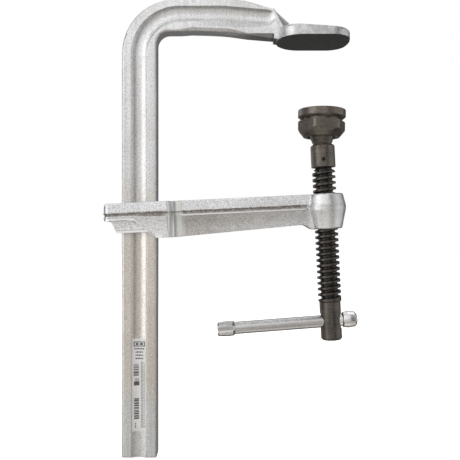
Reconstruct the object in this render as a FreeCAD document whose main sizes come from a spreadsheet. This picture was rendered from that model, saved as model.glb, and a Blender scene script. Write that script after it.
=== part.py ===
import FreeCAD, Part
import math
import os

import Sketcher
from FreeCAD import Placement, Rotation, Vector

# All-steel bar clamp with a sliding arm.
#
# Frame: the origin is the centre of the fixed jaw's pressing face. +Z points up along the rail, from the
# free end of the rail to the fixed arm. +X points from the rail to the jaws, and +Y to the back.
# Units: millimetres and degrees.
#
# The arm frame has its origin where the spindle's axis meets the forging's parting plane. Its z axis is the
# spindle's axis, which leans by arm_tilt from the rail. The arm is forged at that angle, so that it comes
# square to the rail when it is loaded.
#
# The pad frame has its origin at the centre of the swivel's ball, and its z axis is the plate's axis.

DIMENSIONS = {
    # How far a cutting shape reaches past the surface that it cuts.
    "past": 2.0,
    # Rail and fixed arm, one forging. The rail's own frame has x = 0 on its centre line.
    "rail_offset": 121.5,
    "rail_width": 24.0,
    "rail_thickness": 12.5,
    "rail_drop": 288.2,
    "rail_end_round": 1.0,
    "forging_round": 1.5,
    "crown_height": 28.5,
    "crown_reach": 70.0,
    "crown_round": 60.0,
    "outer_bend_radius": 38.0,
    "inner_bend_radius": 8.5,
    "underside_height": 6.0,
    "underside_reach": 49.0,
    "heel_x": 75.0,
    "heel_bottom": 3.6,
    "toe_start": 93.0,
    "toe_bottom": 0.3,
    "bevel_start": 23.0,
    "bevel_full": 36.0,
    "bevel_end": 62.0,
    "bevel_end_bottom": 5.0,
    "bevel_rise": 2.7,
    "bevel_run": 3.0,
    "heel_rise": 0.9,
    "heel_run": 1.2,
    "keel_rise": 4.1,
    "keel_overlap": 0.4,
    "knee_run": 0.4,
    "knee_rise": 0.35,
    "shoulder_x": 93.0,
    "shoulder_height": 21.4,
    "toe_x": 99.8,
    "toe_height": 8.3,
    "nose_top_x": 95.2,
    "nose_foot_x": 110.5,
    "nose_foot": 7.3,
    "nose_side_x": 100.3,
    # Groove in both faces of the rail and the fixed arm.
    "groove_radius": 8.6,
    "groove_depth": 2.15,
    "groove_bend_radius": 27.7,
    "groove_height": 17.7,
    "groove_turn_x": 58.0,
    "groove_end_x": 88.0,
    "groove_end_height": 15.1,
    "web_start": 22.0,
    "web_full": 46.0,
    "web_high": 15.2,
    "web_foot": 9.3,
    "web_depth": 1.77,
    "web_low": 80.0,
    "web_low_top": 12.9,
    "web_low_foot": 8.4,
    "web_low_depth": 1.63,
    "web_end": 94.5,
    "web_fade": 0.1,
    # Pad of the fixed jaw, blunt at its tip and narrower at its root.
    "jaw_centre": 121.5,
    "jaw_tip": 24.5,
    "jaw_tip_side": 21.8,
    "jaw_tip_corner": 13.0,
    "jaw_tip_round": 25.0,
    "jaw_root": 26.8,
    "jaw_root_corner": 17.6,
    "jaw_half_width": 18.2,
    "jaw_root_height": 8.5,
    "jaw_tip_height": 4.9,
    # Sliding arm, in the arm frame.
    "axis_x": 7.74,
    "arm_level": -115.0,
    "arm_tilt": 2.75,
    "arm_top": 9.1,
    "arm_bottom": 15.8,
    "arm_draft": -5.0,
    "flash_height": 1.5,
    "flash_depth": 0.6,
    "flash_overlap": 0.15,
    "head_left": 153.3,
    "head_right": 108.6,
    "head_half": 12.6,
    "head_round": 4.0,
    "flute_round": 2.4,
    "top_edge_round": 0.9,
    "head_top_corner": 3.0,
    "head_low_corner": 1.8,
    "head_top_inset": 0.6,
    "head_top_z": 9.12,
    "head_low_inset": 0.2,
    "head_low_z": 3.1,
    "flute_left": 105.3,
    "flute_right": 103.2,
    "flute_half": 7.4,
    "beam_start": 99.6,
    "beam_half": 8.4,
    "beam_end_half": 7.0,
    "belt_bottom": 2.2,
    "belt_drop": 1.2,
    "belt_corner": 133.0,
    "belt_round": 18.0,
    "root_start": 118.0,
    "root_end": 104.0,
    "root_round": 10.0,
    "beam_bottom_end": 11.6,
    "gusset_start": 16.0,
    "gusset_end": 11.0,
    "gusset_bottom": 14.9,
    "skirt_top_left": 149.2,
    "skirt_left": 144.6,
    "skirt_bottom": 11.4,
    "skirt_half": 10.7,
    "skirt_round": 2.0,
    "skirt_right": 114.0,
    "slide_clearance": 0.4,
    "boss_radius": 14.4,
    "boss_top_radius": 12.4,
    "boss_bottom_radius": 10.9,
    "boss_top": 9.1,
    "boss_bottom": 15.2,
    "boss_widest": 0.4,
    "boss_belly_round": 10.0,
    "boss_edge_round": 1.2,
    "window_round": 1.0,
    "bore_radius": 8.06,
    # Spindle, in the arm frame.
    "thread_radius": 8.0,
    "thread_root_radius": 5.8,
    "thread_pitch": 4.0,
    "thread_crest_gap": 2.5,
    "thread_root_gap": 1.3,
    "thread_top": 27.2,
    "thread_bottom": 66.0,
    "head_radius": 7.3,
    "head_bottom": 92.4,
    "head_chamfer": 1.0,
    "head_lead": 0.6,
    "journal_chamfer": 0.8,
    "thread_flank_step": 0.16,
    "cross_hole_level": 79.4,
    "cross_hole_radius": 4.85,
    "cross_hole_mouth": 5.9,
    "hole_mouth_past": 0.5,
    "hole_mouth_overlap": 0.2,
    "journal_radius": 5.5,
    "journal_top": 41.0,
    "journal_groove_radius": 3.9,
    "journal_groove_width": 3.4,
    "screw_level": 32.6,
    # Tommy bar, along its own x axis.
    "bar_tilt": 4.4,
    "bar_radius": 4.3,
    "bar_left": 79.3,
    "bar_right": 18.0,
    "bar_end_round": 1.0,
    "bulge_radius": 5.8,
    "bulge_start": 7.7,
    "bulge_rise": 0.8,
    "bulge_full": 12.2,
    "bulge_taper": 0.5,
    "bulge_round": 10.0,
    "bulge_end_drop": 2.4,
    "bulge_end_length": 1.2,
    "swage_radius": 5.6,
    "swage_length": 12.2,
    "swage_full": 7.0,
    "swage_round": 12.0,
    "swage_chamfer": 1.0,
    "swage_taper": 0.5,
    "swage_shoulder": 1.5,
    "swage_flute_radius": 3.1,
    "swage_flute_centre": 7.0,
    # Ball stud and its set screw, in the arm frame.
    "sleeve_bottom": 27.8,
    "sleeve_top": 43.4,
    "sleeve_radius": 8.37,
    "sleeve_bore_radius": 5.56,
    "neck_radius": 6.25,
    "neck_flare_radius": 8.7,
    "ball_level": 55.35,
    "ball_radius": 10.35,
    "ball_flat": 7.2,
    "bore_end_gap": 0.3,
    "sleeve_round": 1.6,
    "screw_fit": 0.02,
    "screw_chamfer": 0.3,
    "screw_turn": -5.6,
    "screw_radius": 2.0,
    "screw_tip_radius": 1.2,
    "screw_tip_reach": 4.3,
    "screw_shoulder": 5.7,
    "screw_socket_width": 1.8,
    "screw_socket_depth": 1.0,
    "screw_recess": 0.4,
    # Hex nut and pressure plate, in the pad frame.
    "pad_lean": 1.2,
    "seat_radius": 10.5,
    "nut_width": 29.6,
    "nut_radius": 16.55,
    "nut_top": 4.3,
    "nut_chamfer_start": 1.6,
    "nut_bottom": 6.6,
    "nut_bottom_radius": 12.5,
    "nut_bore_radius": 12.8,
    "nut_mouth_radius": 9.75,
    "nut_turn": 5.0,
    "nut_round": 2.5,
    "nut_top_chamfer": 1.1,
    "nut_top_lead": 0.5,
    "nut_ledge": 0.2,
    "plate_radius": 16.5,
    "plate_bottom": 6.3,
    "plate_top": 12.2,
    "plate_boss_radius": 12.74,
    "plate_boss_bottom": 0.3,
    "plate_socket_top": 9.0,
    "plate_chamfer": 1.4,
    "plate_chamfer_height": 1.1,
    "plate_edge_round": 0.5,
    # Sticker in the front groove of the rail.
    "label_thickness": 0.15,
    "label_gap": 0.02,
    "label_length": 64.0,
    "label_bottom": 270.0,
    "label_half_width": 4.8,
}


HEXAGON = 6
SWAGE_FLUTES = 4
LEAST_CUT = 0.01


class Size:
    """A length or an angle: its number, and the sheet expression that drives it."""

    def __init__(self, value, text):
        self.value = value
        self.text = text

    def __add__(self, other):
        other = as_size(other)
        return Size(self.value + other.value, f"({self.text} + {other.text})")

    def __sub__(self, other):
        other = as_size(other)
        return Size(self.value - other.value, f"({self.text} - {other.text})")

    def __mul__(self, other):
        other = as_size(other)
        return Size(self.value * other.value, f"({self.text} * {other.text})")

    def __truediv__(self, other):
        other = as_size(other)
        return Size(self.value / other.value, f"({self.text} / {other.text})")

    def __neg__(self):
        return Size(-self.value, f"(-1 * {self.text})")

    def root(self):
        return Size(math.sqrt(self.value), f"sqrt({self.text})")

    def sine(self):
        return Size(math.sin(math.radians(self.value)), f"sin({self.text} * 1 deg)")

    def cosine(self):
        return Size(math.cos(math.radians(self.value)), f"cos({self.text} * 1 deg)")


def as_size(number):
    if isinstance(number, Size):
        return number
    return Size(float(number), repr(float(number)))


def make_sheet(doc):
    """Write every driving dimension into the sheet and return them as sizes by name."""
    sheet = doc.addObject("Spreadsheet::Sheet", "Sizes")
    sizes = {}
    for row, (alias, value) in enumerate(DIMENSIONS.items(), start=1):
        sheet.set(f"A{row}", alias)
        sheet.set(f"B{row}", str(value))
        sheet.setAlias(f"B{row}", alias)
        sizes[alias] = Size(value, f"Sizes.{alias}")
    doc.recompute()
    return sizes


doc = FreeCAD.newDocument("bar_clamp")
size = make_sheet(doc)


# Sketch and feature helpers.

def origin_plane(body, role):
    for feature in body.Origin.OriginFeatures:
        if feature.Role == role:
            return feature
    raise ValueError(role)


def new_sketch(body, name, role, offset=None, shift=None, turn=None):
    """Make a sketch on an origin plane, moved along its normal by offset and in its plane by shift."""
    sketch = body.newObject("Sketcher::SketchObject", name)
    sketch.AttachmentSupport = (origin_plane(body, role), "")
    sketch.MapMode = "FlatFace"
    shift = shift or (as_size(0), as_size(0))
    offset = offset or as_size(0)
    rotation = turn or Rotation()
    base = Vector(shift[0].value, shift[1].value, offset.value)
    sketch.AttachmentOffset = Placement(base, rotation)
    for axis, amount in zip("xyz", (shift[0], shift[1], offset)):
        sketch.setExpression(f"AttachmentOffset.Base.{axis}", amount.text)
    return sketch


def bind_point(sketch, geometry, end, x, y):
    """Hold one point of a sketch at x, y by driven distances from the sketch's origin."""
    for kind, amount in (("DistanceX", as_size(x)), ("DistanceY", as_size(y))):
        index = sketch.addConstraint(Sketcher.Constraint(kind, -1, 1, geometry, end, amount.value))
        sketch.setExpression(f"Constraints[{index}]", amount.text)


def bind_radius(sketch, geometry, radius):
    index = sketch.addConstraint(Sketcher.Constraint("Radius", geometry, radius.value))
    sketch.setExpression(f"Constraints[{index}]", radius.text)


def add_line(sketch, start, end):
    a = Vector(as_size(start[0]).value, as_size(start[1]).value, 0)
    b = Vector(as_size(end[0]).value, as_size(end[1]).value, 0)
    return sketch.addGeometry(Part.LineSegment(a, b), False)


def corner_arc(before, corner, after, radius):
    """Return the arc that rounds a corner, where it starts and ends, and whether the outline turns left."""
    inward = (before - corner).normalize()
    outward = (after - corner).normalize()
    half = inward.getAngle(outward) / 2
    start = corner + inward * (radius / math.tan(half))
    end = corner + outward * (radius / math.tan(half))
    centre = corner + (inward + outward).normalize() * (radius / math.sin(half))
    turns_left = outward.cross(inward).z > 0
    first, last = (start, end) if turns_left else (end, start)
    angles = [math.atan2(p.y - centre.y, p.x - centre.x) for p in (first, last)]
    circle = Part.Circle(centre, Vector(0, 0, 1), radius)
    return Part.ArcOfCircle(circle, angles[0], angles[1]), start, end, turns_left


def round_corner(sketch, arc, turns_left, corner, before, after):
    """Join two lines by a tangent arc. A construction point holds the corner that they would meet at."""
    geometry = sketch.addGeometry(arc, False)
    place = Vector(as_size(corner[0]).value, as_size(corner[1]).value, 0)
    mark = sketch.addGeometry(Part.Point(place), True)
    first, last = (1, 2) if turns_left else (2, 1)
    sketch.addConstraint(Sketcher.Constraint("Tangent", before, 2, geometry, first))
    sketch.addConstraint(Sketcher.Constraint("Tangent", geometry, last, after, 1))
    bind_radius(sketch, geometry, as_size(corner[2]))
    bind_point(sketch, mark, 1, corner[0], corner[1])
    sketch.addConstraint(Sketcher.Constraint("PointOnObject", mark, 1, before))
    sketch.addConstraint(Sketcher.Constraint("PointOnObject", mark, 1, after))


def add_outline(sketch, corners, closed=True):
    """Draw an outline through corners. Each corner is (x, y), or (x, y, radius) for a rounded one."""
    points = [Vector(as_size(c[0]).value, as_size(c[1]).value, 0) for c in corners]
    count = len(corners)
    starts = list(points)
    ends = list(points)
    arcs = {}
    for i, corner in enumerate(corners):
        if len(corner) == 3:
            radius = as_size(corner[2]).value
            arc, ends[i], starts[i], left = corner_arc(points[i - 1], points[i], points[(i + 1) % count], radius)
            arcs[i] = (arc, left)
    line_count = count if closed else count - 1
    lines = []
    for i in range(line_count):
        segment = Part.LineSegment(starts[i], ends[(i + 1) % count])
        lines.append(sketch.addGeometry(segment, False))
    for i, corner in enumerate(corners):
        if i in arcs:
            round_corner(sketch, *arcs[i], corner, lines[i - 1], lines[i])
        elif closed or 0 < i < count - 1:
            sketch.addConstraint(Sketcher.Constraint("Coincident", lines[i - 1], 2, lines[i], 1))
            bind_point(sketch, lines[i], 1, corner[0], corner[1])
        elif i == 0:
            bind_point(sketch, lines[0], 1, corner[0], corner[1])
        else:
            bind_point(sketch, lines[-1], 2, corner[0], corner[1])


def add_circle(sketch, x, y, radius):
    centre = Vector(as_size(x).value, as_size(y).value, 0)
    circle = sketch.addGeometry(Part.Circle(centre, Vector(0, 0, 1), radius.value), False)
    bind_point(sketch, circle, 3, x, y)
    bind_radius(sketch, circle, radius)


def new_body(name):
    body = doc.addObject("PartDesign::Body", name)
    body.Label = name
    return body


def finish_feature(body, feature):
    """Make the feature the body's last one and check that it worked."""
    body.Tip = feature
    doc.recompute()
    if "Invalid" in feature.State or "Error" in feature.State or not feature.Shape.isValid():
        raise RuntimeError(f"{body.Label}: {feature.Label} failed")
    return feature


def must_cut(before, feature):
    """Check that a cutting feature took material away."""
    if feature.Shape.Volume > before - LEAST_CUT:
        raise RuntimeError(f"{feature.Label} cut nothing")
    return feature


def pad(body, sketch, length, symmetric=False, down=False, draft=None):
    feature = body.newObject("PartDesign::Pad", sketch.Label + "Pad")
    feature.Profile = sketch
    feature.SideType = "Symmetric" if symmetric else "One side"
    feature.Reversed = down
    feature.setExpression("Length", as_size(length).text)
    if draft is not None:
        feature.setExpression("TaperAngle", draft.text)
    return finish_feature(body, feature)


def pocket(body, sketch, length=None, symmetric=True, down=False):
    """Cut a sketch out of the body: right through on both sides, or to a length on one side."""
    before = body.Shape.Volume
    feature = body.newObject("PartDesign::Pocket", sketch.Label + "Pocket")
    feature.Profile = sketch
    feature.SideType = "Symmetric" if symmetric else "One side"
    feature.Reversed = down
    if length is None:
        feature.Type = "ThroughAll"
    else:
        feature.setExpression("Length", as_size(length).text)
    return must_cut(before, finish_feature(body, feature))


def revolve(body, sketch, axis="V_Axis"):
    feature = body.newObject("PartDesign::Revolution", sketch.Label + "Turned")
    feature.Profile = sketch
    feature.ReferenceAxis = (sketch, [axis])
    feature.Angle = 360
    return finish_feature(body, feature)


def groove(body, sketch, axis="V_Axis"):
    before = body.Shape.Volume
    feature = body.newObject("PartDesign::Groove", sketch.Label + "Groove")
    feature.Profile = sketch
    feature.ReferenceAxis = (sketch, [axis])
    feature.Angle = 360
    return must_cut(before, finish_feature(body, feature))


def fillet(body, base, radius, wanted):
    """Round the edges of the base feature that the function wanted picks by their middle point."""
    names = []
    for i, edge in enumerate(base.Shape.Edges, start=1):
        middle = edge.valueAt((edge.FirstParameter + edge.LastParameter) / 2)
        if wanted(edge, middle):
            names.append(f"Edge{i}")
    feature = body.newObject("PartDesign::Fillet", base.Label + "Fillet")
    feature.Base = (base, names)
    feature.setExpression("Radius", radius.text)
    return finish_feature(body, feature)


def put_in_arm_frame(thing, along=None, turn_about_axis=0.0):
    """Place an object in the arm frame, or at a distance along the spindle's axis."""
    along = along or as_size(0)
    x = size["axis_x"] - along * size["arm_tilt"].sine()
    z = size["arm_level"] + along * size["arm_tilt"].cosine()
    lean = Rotation(Vector(0, -1, 0), size["arm_tilt"].value)
    about_axis = Rotation(Vector(0, 0, 1), turn_about_axis)
    thing.Placement = Placement(Vector(x.value, 0, z.value), lean * about_axis)
    thing.setExpression("Placement.Base.x", x.text)
    thing.setExpression("Placement.Base.z", z.text)


# Rail and fixed jaw.

def jaw_pad(body):
    """The pad is round at its root and blunt at its free tip, and its top slopes down to the tip."""
    half = size["jaw_half_width"]
    tip = size["jaw_tip"]
    tip_side = size["jaw_tip_side"]
    root = -size["jaw_root"]
    sketch = new_sketch(body, "JawPlan", "XY_Plane", shift=(size["jaw_centre"], as_size(0)))
    add_outline(sketch, [
        (tip_side, -half, size["jaw_tip_corner"]),
        (tip, 0, size["jaw_tip_round"]),
        (tip_side, half, size["jaw_tip_corner"]),
        (root, half, size["jaw_root_corner"]),
        (root, -half, size["jaw_root_corner"]),
    ])
    pad(body, sketch, size["jaw_root_height"] + size["past"] / 2)
    left = size["jaw_centre"] - size["jaw_root"] - size["past"]
    right = size["jaw_centre"] + tip + size["past"]
    above = size["jaw_root_height"] + size["past"]
    sketch = new_sketch(body, "JawSlope", "XZ_Plane")
    add_outline(sketch, [(left, size["jaw_root_height"]), (right, size["jaw_tip_height"]),
                         (right, above), (left, above)])
    slope = pocket(body, sketch)
    half_height = size["jaw_tip_height"].value / 2
    fillet(body, slope, size["forging_round"], lambda edge, middle: middle.z > half_height)


def frame_outline(body):
    """The rail, the bend and the fixed arm as one bar seen from the front."""
    half = size["rail_width"] / 2
    crown = size["crown_height"]
    under = size["underside_height"]
    end = size["rail_end_round"]
    sketch = new_sketch(body, "Frame", "XZ_Plane")
    add_outline(sketch, [
        (-half, -size["rail_drop"], end),
        (half, -size["rail_drop"], end),
        (half, under, size["inner_bend_radius"]),
        (size["underside_reach"], under, size["crown_round"]),
        (size["heel_x"], size["heel_bottom"], size["crown_round"]),
        (size["toe_start"], size["toe_bottom"]),
        (size["toe_x"], size["toe_bottom"]),
        (size["toe_x"], size["toe_height"]),
        (size["shoulder_x"], size["shoulder_height"]),
        (size["crown_reach"], crown, size["crown_round"]),
        (-half, crown, size["outer_bend_radius"]),
    ])
    return pad(body, sketch, size["rail_thickness"], symmetric=True)


def round_frame_edges(body, frame):
    face_y = size["rail_thickness"].value / 2
    shoulder = size["shoulder_x"].value

    def on_outer_edge(edge, middle):
        on_face = abs(abs(middle.y) - face_y) < 0.001
        return on_face and middle.x < shoulder and edge.BoundBox.YLength < 0.001

    fillet(body, frame, size["forging_round"], on_outer_edge)


def nose(body):
    """The arm ends in a keel, which runs down to the pad between two flat bevels."""
    half = size["rail_thickness"] / 2
    rows = [
        (size["nose_foot"], size["nose_side_x"], size["nose_foot_x"]),
        (size["shoulder_height"], size["shoulder_x"], size["nose_top_x"]),
    ]
    back = size["shoulder_x"] - size["past"] * 2
    sections = []
    for height, side_x, keel_x in rows:
        sketch = new_sketch(body, "NoseSection", "XY_Plane", offset=height)
        add_outline(sketch, [(back, -half), (side_x, -half), (keel_x, 0), (side_x, half), (back, half)])
        sections.append(sketch)
    feature = body.newObject("PartDesign::AdditiveLoft", "Nose")
    feature.Profile = sections[0]
    feature.Sections = [sections[1]]
    feature.Ruled = True
    finish_feature(body, feature)


def rail_groove(body):
    """A round-bottomed groove follows the rail and the bend and ends rounded in the arm."""
    radius = size["groove_radius"]
    level = size["rail_thickness"] / 2 + radius - size["groove_depth"]
    below = -size["rail_drop"] - size["past"]
    path = new_sketch(body, "GroovePath", "XZ_Plane", offset=level)
    add_outline(path, [
        (0, below),
        (0, size["groove_height"], size["groove_bend_radius"]),
        (size["groove_turn_x"], size["groove_height"], size["crown_round"]),
        (size["groove_end_x"], size["groove_end_height"]),
    ], closed=False)
    section = new_sketch(body, "GrooveSection", "XY_Plane", offset=below)
    add_circle(section, 0, -level, radius)
    before = body.Shape.Volume
    pipe = body.newObject("PartDesign::SubtractivePipe", "RailGroove")
    pipe.Profile = section
    pipe.Spine = path
    must_cut(before, finish_feature(body, pipe))
    end = body.newObject("PartDesign::SubtractiveSphere", "GrooveEnd")
    end.setExpression("Radius", radius.text)
    end.AttachmentSupport = (origin_plane(body, "XY_Plane"), "")
    end.MapMode = "FlatFace"
    spot = (size["groove_end_x"], -level, size["groove_end_height"])
    for axis, amount in zip("xyz", spot):
        end.setExpression(f"AttachmentOffset.Base.{axis}", amount.text)
    finish_feature(body, end)
    return [pipe, end]


def lofted_cut(body, name, sections):
    before = body.Shape.Volume
    feature = body.newObject("PartDesign::SubtractiveLoft", name)
    feature.Profile = sections[0]
    feature.Sections = sections[1:]
    feature.Ruled = True
    return must_cut(before, finish_feature(body, feature))


def web_recess(body):
    """Below the groove, the face of the arm slopes back up to its lower edge."""
    face = -size["rail_thickness"] / 2
    outside = face - size["past"] / 2
    rows = [
        ("web_start", size["web_high"], size["web_foot"], size["web_fade"]),
        ("web_full", size["web_high"], size["web_foot"], size["web_depth"]),
        ("web_low", size["web_low_top"], size["web_low_foot"], size["web_low_depth"]),
        ("web_end", size["web_low_top"], size["web_low_foot"], size["web_fade"]),
    ]
    sections = []
    for place, top, foot, depth in rows:
        sketch = new_sketch(body, "WebSection", "YZ_Plane", offset=size[place])
        add_outline(sketch, [(outside, foot), (face, foot), (face + depth, top), (outside, top)])
        sections.append(sketch)
    return lofted_cut(body, "WebRecess", sections)


def underside_bevel(body):
    """The lower edge of the arm is rounded off. Towards the pad the two sides meet in a keel."""
    half = size["rail_thickness"] / 2
    under = size["underside_height"]
    rows = [
        (size["bevel_start"], under, size["web_fade"], size["web_fade"]),
        (size["bevel_full"], under, size["bevel_run"], size["bevel_rise"]),
        (size["bevel_end"], size["bevel_end_bottom"], size["bevel_run"], size["bevel_rise"]),
        (size["heel_x"], size["heel_bottom"], size["heel_run"], size["heel_rise"]),
        (size["toe_start"], size["toe_bottom"], half + size["keel_overlap"], size["keel_rise"]),
    ]
    outside = -half - size["past"] / 2
    sections = []
    for x, bottom, run, rise in rows:
        sketch = new_sketch(body, "BevelSection", "YZ_Plane", offset=x)
        knee_run = run * size["knee_run"]
        knee_rise = rise * size["knee_rise"]
        steep = (rise - knee_rise) / knee_run * size["past"] / 2
        add_outline(sketch, [
            (run - half, bottom),
            (run - half, bottom - size["past"]),
            (outside, bottom - size["past"]),
            (outside, bottom + rise + steep),
            (knee_run - half, bottom + knee_rise),
        ])
        sections.append(sketch)
    return lofted_cut(body, "UndersideBevel", sections)


def mirror_to_back(body, features):
    before = body.Shape.Volume
    mirrored = body.newObject("PartDesign::Mirrored", "BackFace")
    mirrored.Originals = features
    mirrored.MirrorPlane = (origin_plane(body, "XZ_Plane"), [""])
    return must_cut(before, finish_feature(body, mirrored))


def make_rail_and_fixed_jaw():
    body = new_body("rail_and_fixed_jaw")
    body.setExpression("Placement.Base.x", (-size["rail_offset"]).text)
    jaw_pad(body)
    frame = frame_outline(body)
    round_frame_edges(body, frame)
    nose(body)
    cuts = rail_groove(body)
    cuts.append(web_recess(body))
    cuts.append(underside_bevel(body))
    mirror_to_back(body, cuts)
    return body


# Sliding arm.

def arm_plan(body, name, level, inset):
    """The head, the flutes and the beam seen along the spindle's axis, drawn smaller by inset."""
    left = size["head_left"] - inset
    head = size["head_half"] - inset
    flute = size["flute_half"] - inset
    beam = size["beam_half"] - inset
    beam_end = size["beam_end_half"] - inset
    corner = size["head_round"]
    soft = size["flute_round"]
    front = [
        (-left, -head, corner),
        (-size["head_right"], -head, soft),
        (-size["flute_left"], -flute, soft),
        (-size["flute_right"], -flute, soft),
        (-size["beam_start"], -beam, corner),
        (-size["boss_radius"] / 2, -beam_end),
    ]
    back = [(point[0], -point[1], *point[2:]) for point in reversed(front)]
    sketch = new_sketch(body, name, "XY_Plane", offset=level)
    add_outline(sketch, front + back)
    return sketch


def arm_blank(body):
    """Two drafted halves meet at the parting plane, with a recessed flash band above it."""
    band = size["flash_height"]
    none = as_size(0)
    lower = arm_plan(body, "LowerHalf", none, none)
    pad(body, lower, size["arm_bottom"] + size["past"], down=True, draft=size["arm_draft"])
    flash = arm_plan(body, "FlashBand", -size["flash_overlap"], size["flash_depth"])
    pad(body, flash, band + size["flash_overlap"] * 2)
    upper = arm_plan(body, "UpperHalf", band, none)
    top = pad(body, upper, size["arm_top"] - band, draft=size["arm_draft"])
    height = size["arm_top"].value

    def on_top(edge, middle):
        return abs(middle.z - height) < 0.001 and middle.x < -size["boss_radius"].value

    fillet(body, top, size["top_edge_round"], on_top)


def arm_belly(body):
    """The underside: an arch below the belt of the head, the root of the beam and its rising edge."""
    bottom = -size["arm_bottom"]
    deep = bottom - size["past"] * 2
    left = -size["head_left"] - size["past"] * 2
    right = -size["boss_radius"] / 3
    foot = -size["gusset_bottom"]
    sketch = new_sketch(body, "Belly", "XZ_Plane")
    add_outline(sketch, [
        (left, -size["belt_bottom"] - size["belt_drop"]),
        (-size["belt_corner"], -size["belt_bottom"], size["belt_round"]),
        (-size["root_start"], bottom, size["head_round"]),
        (-size["root_end"], bottom, size["root_round"]),
        (-size["gusset_start"], -size["beam_bottom_end"], size["head_round"]),
        (-size["gusset_end"], foot),
        (right, foot),
        (right, deep),
        (left, deep),
    ])
    pocket(body, sketch)


def round_head_corner(body, name, corner_x, corner_z, radius, side):
    """Round a corner at the free end of the head, seen from the front: side is 1 for top and -1 for low."""
    reach = radius * 1.1
    far_x = corner_x - size["past"]
    far_z = corner_z + size["past"] * side
    sketch = new_sketch(body, name, "XZ_Plane")
    add_outline(sketch, [
        (far_x, far_z),
        (far_x, corner_z - reach * side),
        (corner_x, corner_z - reach * side),
        (corner_x, corner_z, radius),
        (corner_x + reach, corner_z),
        (corner_x + reach, far_z),
    ])
    pocket(body, sketch)


def head_corners(body):
    top_x = size["head_top_inset"] - size["head_left"]
    round_head_corner(body, "HeadTopCorner", top_x, size["head_top_z"], size["head_top_corner"], 1)
    low_x = size["head_low_inset"] - size["head_left"]
    round_head_corner(body, "HeadLowCorner", low_x, -size["head_low_z"], size["head_low_corner"], -1)


def head_skirt(body):
    """Below the belt the cheeks are thinner and run further down the rail."""
    sketch = new_sketch(body, "Skirt", "XZ_Plane")
    top = as_size(0)
    right = -size["skirt_right"]
    add_outline(sketch, [
        (-size["skirt_top_left"], top),
        (-size["skirt_left"], -size["skirt_bottom"], size["skirt_round"]),
        (right, -size["skirt_bottom"]),
        (right, top),
    ])
    pad(body, sketch, size["skirt_half"] * 2, symmetric=True)


def boss(body):
    """The barrel-shaped boss is widest at the parting plane."""
    sketch = new_sketch(body, "Boss", "XZ_Plane")
    top = size["boss_top"]
    bottom = -size["boss_bottom"]
    edge = size["boss_edge_round"]
    add_outline(sketch, [
        (0, bottom),
        (size["boss_bottom_radius"], bottom, edge),
        (size["boss_radius"], -size["boss_widest"], size["boss_belly_round"]),
        (size["boss_top_radius"], top, edge),
        (0, top),
    ])
    revolve(body, sketch)


def rail_window(body):
    """The window runs along the rail, so it leans from the arm frame by the arm's tilt."""
    tilt = size["arm_tilt"]
    reach = size["axis_x"] + size["rail_offset"]
    sketch = new_sketch(body, "Window", "XY_Plane", shift=(-(reach * tilt.cosine()), as_size(0)),
                        offset=reach * tilt.sine(), turn=Rotation(Vector(0, 1, 0), tilt.value))
    gap = size["slide_clearance"]
    half_x = size["rail_width"] / 2 + gap
    half_y = size["rail_thickness"] / 2 + gap
    corner = size["window_round"]
    add_outline(sketch, [
        (-half_x, -half_y, corner),
        (half_x, -half_y, corner),
        (half_x, half_y, corner),
        (-half_x, half_y, corner),
    ])
    pocket(body, sketch)


def make_sliding_arm():
    body = new_body("sliding_arm")
    arm_blank(body)
    arm_belly(body)
    head_corners(body)
    head_skirt(body)
    boss(body)
    rail_window(body)
    bore = new_sketch(body, "Bore", "XY_Plane")
    add_circle(bore, 0, 0, size["bore_radius"])
    pocket(body, bore)
    put_in_arm_frame(body)
    return body


# Spindle.

def spindle_blank(body):
    """Journal with its retaining groove, threaded length and plain head, turned about the axis."""
    journal = size["journal_radius"]
    neck = size["journal_groove_radius"]
    half_groove = size["journal_groove_width"] / 2
    screw = size["screw_level"]
    thread = size["thread_radius"]
    head = size["head_radius"]
    chamfer = size["head_chamfer"]
    bottom = -size["head_bottom"]
    slope = thread - journal
    sketch = new_sketch(body, "SpindleProfile", "XZ_Plane")
    add_outline(sketch, [
        (0, bottom),
        (head - chamfer, bottom),
        (head, bottom + chamfer),
        (head, -size["thread_bottom"]),
        (thread, size["head_lead"] - size["thread_bottom"]),
        (thread, size["thread_top"] - slope),
        (journal, size["thread_top"]),
        (journal, screw - half_groove),
        (neck, screw - half_groove),
        (neck, screw + half_groove),
        (journal, screw + half_groove),
        (journal, size["journal_top"] - size["journal_chamfer"]),
        (journal - size["journal_chamfer"], size["journal_top"]),
        (0, size["journal_top"]),
    ])
    revolve(body, sketch)


def spindle_thread(body):
    """Trapezoidal thread, right-hand: the groove between the crests is cut along a helix."""
    root = size["thread_root_radius"]
    outer = size["thread_radius"] + size["head_lead"]
    crest_half = size["thread_crest_gap"] / 2 + size["thread_flank_step"]
    root_half = size["thread_root_gap"] / 2
    start = size["past"] / 2 - size["thread_bottom"]
    sketch = new_sketch(body, "ThreadGap", "XZ_Plane")
    add_outline(sketch, [
        (root, start - root_half),
        (outer, start - crest_half),
        (outer, start + crest_half),
        (root, start + root_half),
    ])
    before = body.Shape.Volume
    helix = body.newObject("PartDesign::SubtractiveHelix", "Thread")
    helix.Profile = sketch
    helix.ReferenceAxis = (sketch, ["V_Axis"])
    helix.Mode = "pitch-height-angle"
    helix.LeftHanded = False
    helix.setExpression("Pitch", size["thread_pitch"].text)
    helix.setExpression("Height", (size["thread_top"] + size["thread_bottom"]).text)
    must_cut(before, finish_feature(body, helix))


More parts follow.
